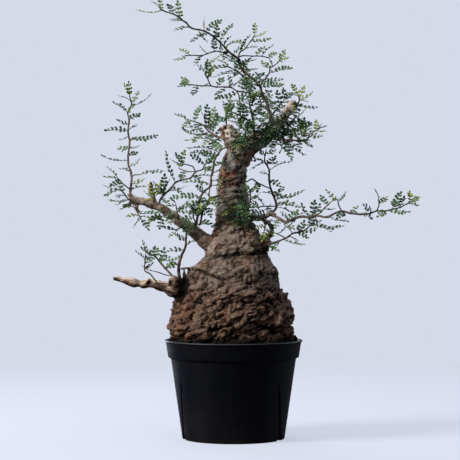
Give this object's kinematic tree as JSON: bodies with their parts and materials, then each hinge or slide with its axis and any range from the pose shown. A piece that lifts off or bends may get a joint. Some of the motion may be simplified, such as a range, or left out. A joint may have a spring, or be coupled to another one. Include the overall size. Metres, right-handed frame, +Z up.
{
  "type": "potted bonsai tree",
  "caption": "Bonsai with a swollen, lumpy stem, a bent trunk and twiggy shoots of small pinnate leaves, standing in a black plastic nursery pot.",
  "frame": {"origin": "centre of the pot's underside, on the surface it stands on", "axes": "+Z up, the front faces -Y, +X to the right as seen from the front"},
  "size_m": [0.339, 0.15, 0.4723],
  "materials": {
    "pot_plastic": "black injection-moulded polypropylene, satin",
    "soil": "coarse dark potting mix",
    "bark": "rough lumpy bark, brown with grey-green patches",
    "foliage": "dark green satin leaflets on grey-brown twigs"
  },
  "bodies": {
    "root": {"pot": "pot_plastic", "soil": "soil", "wood": "bark", "leader": "foliage", "stub_end_shoot": "foliage", "crown_right_twig": "foliage", "crown_front_spray": "foliage", "crown_right_spray": "foliage", "crown_back_spray": "foliage", "knob_left_twig": "foliage", "knob_top_shoot": "foliage", "arm_riser": "foliage", "arm_long_shoot": "foliage", "trunk_left_twig": "foliage", "left_upright_shoot": "foliage", "arm_end_twigs": "foliage", "arm_under_spur_a": "foliage", "arm_under_spur_b": "foliage", "arm_tuft": "foliage", "deadwood_shoot_a": "foliage", "deadwood_shoot_b": "foliage", "deadwood_shoot_c": "foliage", "right_riser": "foliage", "trunk_front_shoot": "foliage", "long_right_branch": "foliage", "stub_right_twig": "foliage", "right_arm_tuft": "foliage"}
  },
  "joints": []
}
